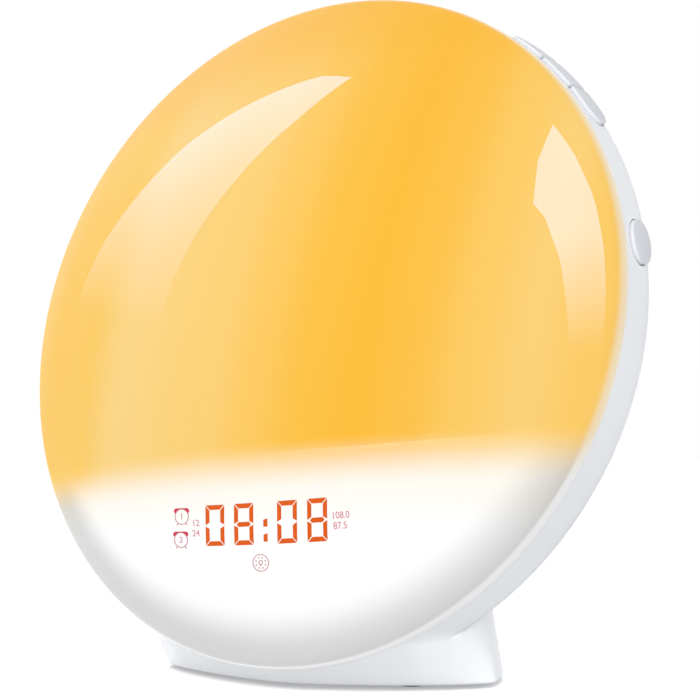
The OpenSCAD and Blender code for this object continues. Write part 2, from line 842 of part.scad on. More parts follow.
module display_board() {
    color("#1f6b3a") on_display() difference() {
        block([-display_board_w / 2, -display_board_h / 2, display_board_back],
            [display_board_w / 2, display_board_h / 2, display_board_back + board_t]);
        for (s = [-1, 1]) translate([s * display_post_x, 0, 0])
            drum(small_screw[0] + slip / 2, display_board_back - cut, display_board_back + board_t + cut);
    }
}

module display_module() {
    color("#f7f5f0") on_display() block([-display_w / 2 + 2, -display_h / 2, display_face - display_d],
        [display_w / 2 - 2, display_h / 2, display_face]);
}

// One bar of a digit along X, with both of its ends cut to points
module digit_bar(length) {
    half = segment_w / 2;
    tip = length / 2 - segment_gap;
    polygon([[-tip, 0], [half - tip, half], [tip - half, half],
        [tip, 0], [tip - half, -half], [half - tip, -half]]);
}

// Seven bars, from the list of those that are lit
module digit(lit) {
    span_w = digit_w - segment_w;
    span_h = (digit_h - segment_w) / 2;
    bars = [
        [[0, span_h], 0, span_w], [[span_w / 2, span_h / 2], 90, span_h],
        [[span_w / 2, -span_h / 2], 90, span_h], [[0, -span_h], 0, span_w],
        [[-span_w / 2, -span_h / 2], 90, span_h], [[-span_w / 2, span_h / 2], 90, span_h],
        [[0, 0], 0, span_w]];
    for (i = lit) translate(bars[i][0]) rotate([0, 0, bars[i][1]]) digit_bar(bars[i][2]);
}

module display_segments() {
    zero = [0, 1, 2, 3, 4, 5];
    eight = [0, 1, 2, 3, 4, 5, 6];
    digits = [zero, eight, zero, eight];
    row_w = 3 * digit_pitch + colon_gap;
    slanted = [[1, tan(digit_slant), 0, 0], [0, 1, 0, 0], [0, 0, 1, display_face], [0, 0, 0, 1]];
    color("#e0641c") on_display() multmatrix(slanted)
        linear_extrude(segment_h) union() {
            for (i = [0:3])
                translate([-row_w / 2 + i * digit_pitch + (i > 1 ? colon_gap : 0), 0]) digit(digits[i]);
            for (y = [-1, 1])
                translate([0, y * digit_h / 5]) square([segment_w, 2 * segment_w], center = true);
        }
}

module display_ribbon() {
    color("#d8d8d8") on_face() translate([ribbon_x, 0, 0]) ribbon([
        [-display_board_back * sin(display_tilt), display_board_back * cos(display_tilt) - ball_drop - 0.3],
        [baffle_y - 6, frame_front + 2], [baffle_y - 6, frame_back - 3], [baffle_y + 2, main_front + 4],
        [main_y - main_h / 2 - 4, main_front + 4], [main_y - main_h / 2 + 3, main_front + 0.3]],
        ribbon_w, 0.5);
}

// ---------- Circuit side ----------

capacitor_r = 3.2;
capacitor_h = 7.5;
capacitor_pitch = 8;
capacitor_at = [for (i = [0:2]) [6 - main_w / 2 + i * capacitor_pitch, main_y + 2]];
chip_side = 14;
chip_gap = 3.8;
chip_at = [capacitor_at[2][0] + capacitor_r + chip_gap + chip_side / 2, main_y + 4];
cell_at = [14, main_y - 14];
cell_t = 3.2;
holder_wall = 1.6;
holder_floor = 1;

module main_board() {
    color("#1f6b3a") on_face() difference() {
        block([-main_w / 2, main_y - main_h / 2, main_back], [main_w / 2, main_y + main_h / 2, main_front]);
        for (p = main_posts) translate(p) drum(small_screw[0] + slip / 2, main_back - cut, main_front + cut);
    }
}

module control_chip() {
    color("#222222") on_face() translate(chip_at)
        block([-chip_side / 2, -chip_side / 2, main_front], [chip_side / 2, chip_side / 2, main_front + 1.8]);
}

module board_capacitors() {
    color("#34495e") on_face() for (p = capacitor_at) translate(p)
        drum(capacitor_r, main_front, main_front + capacitor_h);
}

module cell_holder() {
    color("#303030") on_face() translate(cell_at) difference() {
        drum(cell_r + holder_wall, main_front, main_front + holder_floor + cell_t);
        drum(cell_r + slip / 2, main_front + holder_floor, main_front + holder_floor + cell_t + cut);
    }
}

module coin_cell() {
    color("silver") on_face() translate(cell_at)
        drum(cell_r, main_front + holder_floor, main_front + holder_floor + cell_t);
}

module power_jack() {
    color("#26262a") on_face() translate(jack_at) difference() {
        union() {
            drum(jack_flange_r, -back_depth, jack_flange_t - back_depth);
            drum(jack_r, -back_depth, jack_body_end);
        }
        difference() {
            drum(socket_r, -back_depth - cut, jack_body_end - 4);
            drum(socket_pin_r, 1 - back_depth, jack_body_end);
        }
    }
}

module jack_nut() {
    color("silver") on_face() translate(jack_at) difference() {
        translate([0, 0, inside_back]) cylinder(r = jack_r + 2.4, h = jack_nut_t, $fn = 6);
        drum(jack_r + hole_slip, inside_back - cut, inside_back + jack_nut_t + cut);
    }
}

module antenna_grommet() {
    groove = grommet_r - grommet_lap - hole_slip;
    color("#2c2c2e") on_face() translate(grommet_at) difference() {
        union() {
            drum(grommet_r, -back_depth - grommet_lap, -back_depth);
            drum(groove, -back_depth - grommet_lap / 2, inside_back + grommet_lap / 2);
            drum(grommet_r, inside_back, inside_back + grommet_lap);
        }
        drum(grommet_hole_r, -back_depth - 2 * cut, inside_back + 2 * cut);
    }
}

// ---------- Speaker, facing the grille ----------

basket_back = speaker_seat + speaker_flange_t + basket_depth;
surround_t = 0.8;
surround_w = 3;
cone_neck_r = 7;
cone_depth = 7;
cone_cap = 3;

module speaker_basket() {
    color("#50545a") on_face() translate([0, speaker_y, 0]) difference() {
        rotate_extrude() polygon([
            [speaker_mouth_r - basket_t, speaker_seat + surround_t],
            [speaker_mouth_r + 1, speaker_seat + surround_t],
            [speaker_mouth_r + 1, speaker_seat], [speaker_r, speaker_seat],
            [speaker_r, speaker_seat + speaker_flange_t], [speaker_mouth_r, speaker_seat + speaker_flange_t],
            [basket_tail_r, basket_back], [0, basket_back],
            [0, basket_back - basket_t], [basket_tail_r - basket_t, basket_back - basket_t]]);
        for (a = [45:90:315]) rotate([0, 0, a]) translate([speaker_screw_at, 0, 0])
            drum(small_screw[0] + slip / 2, speaker_seat - cut, speaker_seat + speaker_flange_t + cut);
    }
}

module speaker_cone() {
    color("#2b2b2e") on_face() translate([0, speaker_y, speaker_seat]) rotate_extrude() polygon([
        [0, cone_depth - cone_cap], [cone_neck_r, cone_depth],
        [speaker_mouth_r - surround_w, 0], [speaker_mouth_r + 1, 0],
        [speaker_mouth_r + 1, surround_t], [speaker_mouth_r - surround_w + surround_t / 4, surround_t],
        [cone_neck_r + surround_t / 4, cone_depth + surround_t], [0, cone_depth - cone_cap + surround_t]]);
}

module speaker_magnet() {
    color("#6b6f75") on_face() translate([0, speaker_y, 0])
        drum(magnet_r, basket_back, basket_back + magnet_h);
}

module small_screws() {
    color("silver") {
        on_face() for (p = frame_posts) translate([p[0], p[1], frame_front]) screw(small_screw);
        on_face() for (p = lamp_screws) translate([p[0], p[1], lamp_top]) screw(small_screw);
        on_face() for (p = main_posts) translate([p[0], p[1], main_front]) screw(small_screw);
        on_face() translate([0, speaker_y, speaker_seat + speaker_flange_t])
            for (a = [45:90:315]) rotate([0, 0, a]) translate([speaker_screw_at, 0, 0]) screw(small_screw);
        on_display() for (s = [-1, 1]) translate([s * display_post_x, 0, display_board_back + board_t])
            screw(small_screw);
    }
}

// ---------- Keys ----------

key_tone = "#e6e9ee";
board_tone = "#1f6b3a";
switch_tone = "#2a2a2c";
plunger_tone = "#b9bcc2";
row_stems = [for (i = [0:2]) row_stem_y(i)];
top_key_len = 2 * dome_r * sin(top_half_span);
top_stems = [-top_stem_y, top_stem_y];

module right_row_board() color(board_tone) key_board(row_angle, row_board_half);
module right_row_switches() color(switch_tone) switch_bodies(row_angle, row_stems);
module right_oval_board() color(board_tone) key_board(oval_angle, oval_board_half);
module right_oval_switch() color(switch_tone) switch_bodies(oval_angle, [0]);
module left_row_board() color(board_tone) side(-1) key_board(row_angle, row_board_half);
module left_row_switches() color(switch_tone) side(-1) switch_bodies(row_angle, row_stems);
module left_oval_board() color(board_tone) side(-1) key_board(oval_angle, oval_board_half);
module left_oval_switch() color(switch_tone) side(-1) switch_bodies(oval_angle, [0]);
module top_board() color(board_tone) key_board(90, top_board_half);
module top_switches() color(switch_tone) switch_bodies(90, top_stems);
module right_key_low() color(key_tone) row_key(0);
module right_key_mid() color(key_tone) row_key(1);
module right_key_high() color(key_tone) row_key(2);
module right_key_oval() color(key_tone) lone_key(oval_angle, oval_len, [0]);
module left_key_low() color(key_tone) side(-1) row_key(0);
module left_key_mid() color(key_tone) side(-1) row_key(1);
module left_key_high() color(key_tone) side(-1) row_key(2);
module left_key_oval() color(key_tone) side(-1) lone_key(oval_angle, oval_len, [0]);
module top_key() color(key_tone) lone_key(90, top_key_len, top_stems);
module right_plunger_low() color(plunger_tone) plungers(row_angle, [row_stems[0]]);
module right_plunger_mid() color(plunger_tone) plungers(row_angle, [row_stems[1]]);
module right_plunger_high() color(plunger_tone) plungers(row_angle, [row_stems[2]]);
module right_plunger_oval() color(plunger_tone) plungers(oval_angle, [0]);
module left_plunger_low() color(plunger_tone) side(-1) plungers(row_angle, [row_stems[0]]);
module left_plunger_mid() color(plunger_tone) side(-1) plungers(row_angle, [row_stems[1]]);
module left_plunger_high() color(plunger_tone) side(-1) plungers(row_angle, [row_stems[2]]);
module left_plunger_oval() color(plunger_tone) side(-1) plungers(oval_angle, [0]);
module top_plungers() color(plunger_tone) plungers(90, top_stems);

diffuser_dome();
rear_housing();
base_plate();
foot_pads();
base_screws();
case_screws();
ballast_weight();
mid_frame();
light_baffle();
lamp_board();
lamp_chips();
lamp_header();
display_board();
display_module();
display_segments();
display_ribbon();
main_board();
control_chip();
board_capacitors();
cell_holder();
coin_cell();
power_jack();
jack_nut();
antenna_grommet();
speaker_basket();
speaker_cone();
speaker_magnet();
small_screws();
right_row_board();
right_row_switches();
right_oval_board();
right_oval_switch();
left_row_board();
left_row_switches();
left_oval_board();
left_oval_switch();
top_board();
top_switches();
right_key_low();
right_key_mid();
right_key_high();
right_key_oval();
left_key_low();
left_key_mid();
left_key_high();
left_key_oval();
top_key();
right_plunger_low();
right_plunger_mid();
right_plunger_high();
right_plunger_oval();
left_plunger_low();
left_plunger_mid();
left_plunger_high();
left_plunger_oval();
top_plungers();
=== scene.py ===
import json
import math

import bpy
from mathutils import Matrix, Vector


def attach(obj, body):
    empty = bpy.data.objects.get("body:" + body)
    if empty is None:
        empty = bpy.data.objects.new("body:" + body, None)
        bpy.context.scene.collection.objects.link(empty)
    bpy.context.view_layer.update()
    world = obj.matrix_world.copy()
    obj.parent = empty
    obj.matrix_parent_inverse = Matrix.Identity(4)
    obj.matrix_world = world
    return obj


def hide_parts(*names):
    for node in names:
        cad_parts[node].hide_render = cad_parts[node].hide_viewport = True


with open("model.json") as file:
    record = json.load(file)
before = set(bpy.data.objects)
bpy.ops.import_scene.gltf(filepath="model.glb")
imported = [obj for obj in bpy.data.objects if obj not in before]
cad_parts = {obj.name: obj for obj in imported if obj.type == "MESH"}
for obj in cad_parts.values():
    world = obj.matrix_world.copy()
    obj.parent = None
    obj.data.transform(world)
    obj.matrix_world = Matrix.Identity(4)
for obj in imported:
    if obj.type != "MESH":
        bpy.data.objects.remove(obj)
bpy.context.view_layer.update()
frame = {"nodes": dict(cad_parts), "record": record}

# ---------- Sizes of the clock, in metres, as the frame has them ----------

MM = 0.001
LEAN = math.radians(10)
SEAM_R = 95 * MM
RIM_LIFT = 6.2 * MM
EDGE_R = 5 * MM
EDGE_CENTRE_R = SEAM_R - EDGE_R
DOME_RISE = 26 * MM
DOME_WALL = 2.5 * MM
LIP_R = 92.3 * MM
LIP_T = 2 * MM
LIP_DEPTH = 1.5 * MM
BALL_DROP = (EDGE_CENTRE_R ** 2 - (DOME_RISE - EDGE_R) ** 2) / (2 * (DOME_RISE - EDGE_R))
BALL_R = DOME_RISE + BALL_DROP
CAP_ANGLE = math.atan2(EDGE_CENTRE_R, BALL_DROP)
FACE_CENTRE = Vector((0, -12.8562 * MM, SEAM_R * math.cos(LEAN) + RIM_LIFT))
FACE = Matrix.Translation(FACE_CENTRE) @ Matrix.Rotation(math.radians(90) - LEAN, 4, "X")

DISPLAY_X = 4.7 * MM
DISPLAY_TILT = math.asin(60.5 * MM / BALL_R)
DISPLAY = FACE @ Matrix.Translation((0, 0, -BALL_DROP)) @ Matrix.Rotation(DISPLAY_TILT, 4, "X")


# ---------- Modelling helpers ----------

def deselect():
    """Leaves object mode with nothing selected."""
    if bpy.context.object and bpy.context.object.mode != "OBJECT":
        bpy.ops.object.mode_set(mode="OBJECT")
    bpy.ops.object.select_all(action="DESELECT")


def pick(*pieces):
    """Selects only these pieces and makes the first one active."""
    deselect()
    for piece in pieces:
        piece.select_set(True)
    bpy.context.view_layer.objects.active = pieces[0]
    return pieces[0]


def edit(piece, select="SELECT"):
    """Opens a piece in edit mode with all or none of it selected."""
    pick(piece)
    bpy.ops.object.mode_set(mode="EDIT")
    bpy.ops.mesh.select_all(action=select)


def started(name):
    """Names the primitive that was just added."""
    piece = bpy.context.object
    piece.name = name
    piece.data.name = name
    return piece


def joined(name, pieces):
    """Joins pieces into the first one."""
    pick(*pieces)
    if len(pieces) > 1:
        bpy.ops.object.join()
    return started(name)


def modified(piece, kind, **settings):
    """Adds a modifier and applies it."""
    pick(piece)
    modifier = piece.modifiers.new(kind, kind)
    for key, value in settings.items():
        setattr(modifier, key, value)
    bpy.ops.object.modifier_apply(modifier=modifier.name)
    return piece


def smoothed(piece, angle=30):
    """Shades a piece smooth, apart from edges sharper than an angle in degrees."""
    pick(piece)
    bpy.ops.object.shade_smooth_by_angle(angle=math.radians(angle))
    return piece


def settle(piece, place):
    """Puts a piece in its place and leaves its object at the origin."""
    pick(piece)
    piece.matrix_world = place
    bpy.ops.object.transform_apply(location=True, rotation=True, scale=True)
    return piece


def turned(name, outline, steps):
    """Spins a closed outline of (radius, height) points round the Z axis."""
    bpy.ops.mesh.primitive_plane_add(size=EDGE_R)
    piece = started(name)
    edit(piece, "DESELECT")
    bpy.ops.object.mode_set(mode="OBJECT")
    for vertex in piece.data.vertices:
        vertex.select = vertex.index > 0
    bpy.ops.object.mode_set(mode="EDIT")
    bpy.ops.mesh.delete(type="VERT")
    bpy.ops.object.mode_set(mode="OBJECT")
    first = Vector((outline[0][0], 0, outline[0][1]))
    piece.data.vertices[0].co = first
    edit(piece)
    at = first
    for radius, height in list(outline[1:]) + [outline[0]]:
        step = Vector((radius, 0, height)) - at
        bpy.ops.mesh.extrude_region_move(TRANSFORM_OT_translate={"value": step})
        at = at + step
    bpy.ops.mesh.select_all(action="SELECT")
    bpy.ops.mesh.remove_doubles(threshold=0.01 * MM)
    bpy.ops.mesh.select_all(action="SELECT")
    bpy.ops.mesh.spin(steps=steps, angle=2 * math.pi, center=(0, 0, 0), axis=(0, 0, 1))
    bpy.ops.mesh.select_all(action="SELECT")
    bpy.ops.mesh.remove_doubles(threshold=0.01 * MM)
    bpy.ops.mesh.delete_loose(use_verts=True, use_edges=True, use_faces=False)
    bpy.ops.mesh.select_all(action="SELECT")
    bpy.ops.mesh.normals_make_consistent(inside=False)
    bpy.ops.object.mode_set(mode="OBJECT")
    return piece


def dome_outline(depth, edge_steps, ball_steps):
    """Points of the dome's outline at a depth under its surface, from the seam to the crown."""
    points = []
    for i in range(edge_steps + 1):
        angle = (math.pi / 2 - CAP_ANGLE) * i / edge_steps
        points.append((EDGE_CENTRE_R + (EDGE_R - depth) * math.cos(angle), (EDGE_R - depth) * math.sin(angle)))
    for i in range(1, ball_steps + 1):
        angle = CAP_ANGLE * (1 - i / ball_steps)
        points.append(((BALL_R - depth) * math.sin(angle), (BALL_R - depth) * math.cos(angle) - BALL_DROP))
    return points


# ---------- Material helpers ----------

def add(tree, kind, values=None, **settings):
    """Adds a node. A value is a constant, or another node's output, for a named or numbered input."""
    node = tree.nodes.new(kind)
    for key, value in settings.items():
        setattr(node, key, value)
    for key, value in (values or {}).items():
        put(tree, node.inputs[key], value)
    return node


def put(tree, socket, value):
    """Sets an input to a constant or links it to an output."""
    if isinstance(value, bpy.types.NodeSocket):
        tree.links.new(value, socket)
    elif isinstance(value, tuple) and len(value) == 3 and socket.type == "RGBA":
        socket.default_value = value + (1,)
    elif isinstance(value, float) and socket.type == "RGBA":
        socket.default_value = (value, value, value, 1)
    else:
        socket.default_value = value


def maths(tree, operation, a, b=0.0, clamp=False):
    return add(tree, "ShaderNodeMath", {0: a, 1: b}, operation=operation, use_clamp=clamp).outputs[0]


def ranged(tree, value, low, high, to_low=0.0, to_high=1.0, kind="SMOOTHSTEP"):
    node = add(tree, "ShaderNodeMapRange", {"Value": value}, interpolation_type=kind)
    for key, number in (("From Min", low), ("From Max", high), ("To Min", to_low), ("To Max", to_high)):
        put(tree, node.inputs[key], number)
    return node.outputs["Result"]


def mixed(tree, factor, a, b, blend="MIX"):
    node = add(tree, "ShaderNodeMix", data_type="RGBA", blend_type=blend)
    put(tree, node.inputs[0], factor)
    put(tree, node.inputs[6], a)
    put(tree, node.inputs[7], b)
    return node.outputs[2]


def ramp(tree, factor, stops, interpolation="EASE"):
    node = add(tree, "ShaderNodeValToRGB", {"Fac": factor})
    node.color_ramp.interpolation = interpolation
    while len(node.color_ramp.elements) < len(stops):
        node.color_ramp.elements.new(0.5)
    for element, (place, colour) in zip(node.color_ramp.elements, stops):
        element.position = place
        element.color = tuple(colour) + (1,)
    return node.outputs["Color"]


def seen(red, green, blue):
    """A colour as it shows on a screen, 0 to 255, made linear."""
    def linear(value):
        value = value / 255
        return value / 12.92 if value <= 0.04045 else ((value + 0.055) / 1.055) ** 2.4
    return (linear(red), linear(green), linear(blue))


def new_material(name):
    """A material with an empty Principled shader; gives back (material, tree, shader, Object coordinates)."""
    material = bpy.data.materials.new(name)
    material.use_nodes = True
    tree = material.node_tree
    tree.nodes.clear()
    shader = tree.nodes.new("ShaderNodeBsdfPrincipled")
    output = tree.nodes.new("ShaderNodeOutputMaterial")
    tree.links.new(shader.outputs[0], output.inputs["Surface"])
    place = tree.nodes.new("ShaderNodeTexCoord").outputs["Object"]
    return material, tree, shader, place


def new_group(name, inputs, outputs):
    """A shader node group with named sockets; gives back (group tree, its inputs, its output node)."""
    tree = bpy.data.node_groups.new(name, "ShaderNodeTree")
    for key, kind, value in inputs:
        socket = tree.interface.new_socket(name=key, in_out="INPUT", socket_type=kind)
        if value is not None:
            socket.default_value = value
    for key, kind in outputs:
        tree.interface.new_socket(name=key, in_out="OUTPUT", socket_type=kind)
    return tree, tree.nodes.new("NodeGroupInput").outputs, tree.nodes.new("NodeGroupOutput")


def moulded_grain_group():
    """Fine moulded texture: tone drift, uneven gloss and a small-grained height."""
    tree, given, out = new_group(
        "moulded_grain",
        [("Vector", "NodeSocketVector", None), ("Color", "NodeSocketColor", (0.8, 0.8, 0.8, 1)),
         ("Drift", "NodeSocketFloat", 0.05), ("Gloss", "NodeSocketFloat", 0.4), ("Grain", "NodeSocketFloat", 1800.0)],
        [("Color", "NodeSocketColor"), ("Roughness", "NodeSocketFloat"), ("Height", "NodeSocketFloat")])
    cloud = add(tree, "ShaderNodeTexNoise", {"Vector": given["Vector"], "Scale": 22.0, "Detail": 3.0}).outputs["Fac"]
    haze = add(tree, "ShaderNodeTexNoise", {"Vector": given["Vector"], "Scale": 90.0, "Detail": 4.0}).outputs["Fac"]
    fine = add(tree, "ShaderNodeTexNoise", {"Vector": given["Vector"], "Scale": given["Grain"], "Detail": 2.0})
    drift = maths(tree, "MULTIPLY", maths(tree, "SUBTRACT", cloud, 0.5), given["Drift"])
    bright = add(tree, "ShaderNodeHueSaturation", {"Color": given["Color"], "Value": maths(tree, "ADD", drift, 1.0)})
    spread = maths(tree, "MULTIPLY", maths(tree, "SUBTRACT", haze, 0.5), 0.16)
    tree.links.new(bright.outputs["Color"], out.inputs["Color"])
    tree.links.new(maths(tree, "ADD", given["Gloss"], spread, clamp=True), out.inputs["Roughness"])
    tree.links.new(fine.outputs["Fac"], out.inputs["Height"])
    return tree


def brushed_group():
    """Rolled or turned metal: fine lines along one way, with a few darker stains."""
    tree, given, out = new_group(
        "brushed_metal",
        [("Vector", "NodeSocketVector", None), ("Color", "NodeSocketColor", (0.7, 0.7, 0.7, 1)),
         ("Gloss", "NodeSocketFloat", 0.3), ("Stretch", "NodeSocketFloat", 14.0)],
        [("Color", "NodeSocketColor"), ("Roughness", "NodeSocketFloat"), ("Height", "NodeSocketFloat")])
    spread = add(tree, "ShaderNodeCombineXYZ", {"X": given["Stretch"], "Y": 1.0, "Z": 1.0}).outputs[0]
    drawn = add(tree, "ShaderNodeVectorMath", {0: given["Vector"], 1: spread}, operation="MULTIPLY").outputs[0]
    lines = add(tree, "ShaderNodeTexNoise", {"Vector": drawn, "Scale": 260.0, "Detail": 5.0}).outputs["Fac"]
    stain = add(tree, "ShaderNodeTexNoise", {"Vector": given["Vector"], "Scale": 60.0, "Detail": 4.0}).outputs["Fac"]
    value = ranged(tree, stain, 0.3, 0.7, 0.9, 1.05, "LINEAR")
    tone = add(tree, "ShaderNodeHueSaturation", {"Color": given["Color"], "Value": value})
    gloss = maths(tree, "ADD", given["Gloss"], ranged(tree, lines, 0.3, 0.7, -0.08, 0.1, "LINEAR"), clamp=True)
    tree.links.new(tone.outputs["Color"], out.inputs["Color"])
    tree.links.new(gloss, out.inputs["Roughness"])
    tree.links.new(lines, out.inputs["Height"])
    return tree


MOULDED = moulded_grain_group()
BRUSHED = brushed_group()


def bump(tree, shader, height, depth):
    """Small relief, depth in millimetres."""
    node = add(tree, "ShaderNodeBump", {"Height": height, "Strength": 1.0, "Distance": depth * MM})
    tree.links.new(node.outputs["Normal"], shader.inputs["Normal"])


def moulded(name, colour, gloss=0.4, drift=0.05, grain=1800.0, depth=0.004, coat=0.0, sheen=0.0):
    """Moulded plastic or rubber."""
    material, tree, shader, place = new_material(name)
    group = add(tree, "ShaderNodeGroup", node_tree=MOULDED)
    for key, value in (("Vector", place), ("Color", colour), ("Drift", drift), ("Gloss", gloss), ("Grain", grain)):
        put(tree, group.inputs[key], value)
    tree.links.new(group.outputs["Color"], shader.inputs["Base Color"])
    tree.links.new(group.outputs["Roughness"], shader.inputs["Roughness"])
    shader.inputs["Coat Weight"].default_value = coat
    shader.inputs["Coat Roughness"].default_value = 0.12
    shader.inputs["Sheen Weight"].default_value = sheen
    bump(tree, shader, group.outputs["Height"], depth)
    return material


def metal(name, colour, gloss=0.3, stretch=14.0, depth=0.003):
    """Bare or plated metal."""
    material, tree, shader, place = new_material(name)
    group = add(tree, "ShaderNodeGroup", node_tree=BRUSHED)
    for key, value in (("Vector", place), ("Color", colour), ("Gloss", gloss), ("Stretch", stretch)):
        put(tree, group.inputs[key], value)
    tree.links.new(group.outputs["Color"], shader.inputs["Base Color"])
    tree.links.new(group.outputs["Roughness"], shader.inputs["Roughness"])
    shader.inputs["Metallic"].default_value = 1.0
    bump(tree, shader, group.outputs["Height"], depth)
    return material


def face_coordinates(tree, place):
    """Object coordinates turned to the face: X right, Y up the face, Z out of it."""
    node = add(tree, "ShaderNodeMapping", {"Vector": place}, vector_type="TEXTURE")
    node.inputs["Location"].default_value = FACE_CENTRE
    node.inputs["Rotation"].default_value = (math.radians(90) - LEAN, 0, 0)
    return add(tree, "ShaderNodeSeparateXYZ", {0: node.outputs[0]}).outputs


# ---------- The lit diffuser ----------

RIM_SHADE_CENTRE_X = 4 * MM
WALL_TONE = 0.36
WALL_GLOW = 0.55
SHEEN = 0.026


def under_gloss(red, green, blue):
    """A colour as it shows on a screen, less the even sheen that the gloss adds."""
    return tuple(max(0.0, value - SHEEN) for value in seen(red, green, blue))


def diffuser_material():
    """Glossy diffuser: amber lamp light above, a white field round the time, and a pale edge, with painted
    reflections, painted shade and a painted rim highlight laid into the glow.
    """
    material, tree, shader, place = new_material("diffuser")
    right, up, out = face_coordinates(tree, place)

    def radius_round(centre_x):
        x = maths(tree, "SUBTRACT", right, centre_x)
        return maths(tree, "SQRT", maths(tree, "ADD", maths(tree, "MULTIPLY", x, x), maths(tree, "MULTIPLY", up, up)))

    radius = radius_round(0.0)

    # amber lamp glow, deepest in a leaning band right of the middle and at the top; the paler sides are painted
    # reflections of broad soft lights laid into the glow
    across = maths(tree, "SUBTRACT", right, maths(tree, "MULTIPLY", up, 0.2))
    amber = ramp(tree, ranged(tree, across, -SEAM_R, SEAM_R, kind="LINEAR"), [
        (0.08, under_gloss(252, 198, 60)), (0.20, under_gloss(252, 203, 88)), (0.32, under_gloss(252, 213, 133)),
        (0.50, under_gloss(252, 209, 120)), (0.57, under_gloss(252, 203, 100)), (0.65, under_gloss(252, 195, 74)),
        (0.72, under_gloss(254, 191, 65)), (0.78, under_gloss(252, 194, 75)), (0.85, under_gloss(252, 204, 102)),
        (0.92, under_gloss(252, 210, 121)), (0.98, under_gloss(252, 204, 104))])
    deep_top = ranged(tree, up, 50 * MM, 88 * MM)
    amber = mixed(tree, maths(tree, "MULTIPLY", deep_top, 0.75), amber, under_gloss(252, 187, 47))
    # pale cream on the rounded edge: partly glow through the edge, partly a painted rim highlight
    pale_rim_highlight = ranged(tree, radius, 93.4 * MM, 95.0 * MM)
    amber = mixed(tree, pale_rim_highlight, amber, under_gloss(252, 234, 200))

    # white field below the baffle, with painted shade greying it towards its rim, a painted bright line on the rim,
    # and a warm glow where the lamp light ends
    # painted shade where the dome's edge turns away from the light, on top of the glow thinning near the edge
    painted_rim_shade = ranged(tree, radius_round(RIM_SHADE_CENTRE_X), 79.5 * MM, 91.5 * MM, 1.0, 0.66)
    white = mixed(tree, ranged(tree, up, -63 * MM, -53 * MM), (1.0, 1.0, 1.0), under_gloss(255, 252, 244))
    white = mixed(tree, 1.0, white, painted_rim_shade, "MULTIPLY")
    # painted highlight: a bright line where the rim catches the light
    white = mixed(tree, ranged(tree, radius, 94.0 * MM, 94.6 * MM), white, (0.9, 0.9, 0.9))
    edge_line = add(tree, "ShaderNodeTexNoise", {"Vector": place, "Scale": 12.0, "Detail": 1.0}).outputs["Fac"]
    tilted = maths(tree, "SUBTRACT", up, maths(tree, "MULTIPLY", right, 0.025))
    line = maths(tree, "ADD", tilted, maths(tree, "MULTIPLY", maths(tree, "SUBTRACT", edge_line, 0.5), 2 * MM))
    warm = ranged(tree, line, -54 * MM, -41 * MM)
    light = mixed(tree, warm, white, amber)
    dusty = add(tree, "ShaderNodeGroup", node_tree=MOULDED)
    for key, value in (("Vector", place), ("Color", light), ("Drift", 0.02), ("Gloss", 0.32), ("Grain", 2200.0)):
        put(tree, dusty.inputs[key], value)
    light = dusty.outputs["Color"]
    tree.links.new(mixed(tree, 1.0, light, WALL_TONE, "MULTIPLY"), shader.inputs["Base Color"])
    tree.links.new(dusty.outputs["Roughness"], shader.inputs["Roughness"])

    # most of what is seen is lamp light through the wall
    tree.links.new(mixed(tree, 1.0, light, WALL_GLOW, "MULTIPLY"), shader.inputs["Emission Color"])
    shader.inputs["Emission Strength"].default_value = 1.0
    shader.inputs["Coat Weight"].default_value = 0.5
    shader.inputs["Coat Roughness"].default_value = 0.0
    shader.inputs["Specular IOR Level"].default_value = 0.05
    return material


def diffuser_shell():
    """The dome with its rounded edge, its inner wall, the lip and the screw bosses."""
    outer = dome_outline(0, 14, 44)
    inner = dome_outline(DOME_WALL, 8, 30)
    inner_top = inner[::-1]
    lip_top = (EDGE_R - DOME_WALL) * 0.8
    lip = [(LIP_R - LIP_T, lip_top), (LIP_R - LIP_T, -LIP_DEPTH), (LIP_R, -LIP_DEPTH), (LIP_R, 0)]
    shell = turned("diffuser_shell", outer + [p for p in inner_top if p[0] < LIP_R - LIP_T] + lip, 192)
    smoothed(shell, 40)
    bosses = []
    for angle in (56.5, 123.5, 215, 325):
        bore, wall, low, high = 1.5 * MM, 3.2 * MM, -8 * MM, 3.4 * MM
        boss = turned("boss", [(wall, low), (wall, high), (bore, high), (bore, low)], 32)
        at = 86.5 * MM
        settle(boss, Matrix.Translation((at * math.cos(math.radians(angle)), at * math.sin(math.radians(angle)), 0)))
        bosses.append(smoothed(boss))
    return settle(joined("diffuser_shell", [shell] + bosses), FACE)


dome = diffuser_shell()
dome.data.materials.clear()
dome.data.materials.append(diffuser_material())
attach(dome, "root")
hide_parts("diffuser_dome")


# ---------- Lit digits and marks, as they show on the dome ----------

MARK_T = 0.05 * MM
SQUEEZE = 0.0024
RISE = 0.0146


def dome_point(x, y, lift):
    """Point on the dome in front of the display, from the display's own x and y, drawn together to the sides."""
    x, y = DISPLAY_X + x - SQUEEZE * x * x / MM, y + RISE * x
    reach = BALL_R + lift
    return DISPLAY @ Vector((x, y, math.sqrt(reach * reach - x * x - y * y)))


def mark_outline(points):
    """Flat shape with the given corners, in millimetres."""
    bpy.ops.mesh.primitive_circle_add(vertices=len(points), radius=MM, fill_type="NGON")
    mark = started("mark")
    for vertex, (x, y) in zip(mark.data.vertices, points):
        vertex.co = (x * MM, y * MM, 0)
    return mark


def mark_disc(x, y, radius, corners=24):
    return mark_outline([(x + radius * math.cos(2 * math.pi * i / corners),
                          y + radius * math.sin(2 * math.pi * i / corners)) for i in range(corners)])


def mark_ring(x, y, radius, width, corners=40):
    """Ring: a disc whose inset middle is deleted."""
    mark = mark_disc(x, y, radius + width / 2, corners)
    edit(mark)
    bpy.ops.mesh.inset(thickness=width * MM)
    bpy.ops.mesh.delete(type="FACE")
    bpy.ops.object.mode_set(mode="OBJECT")
    return mark


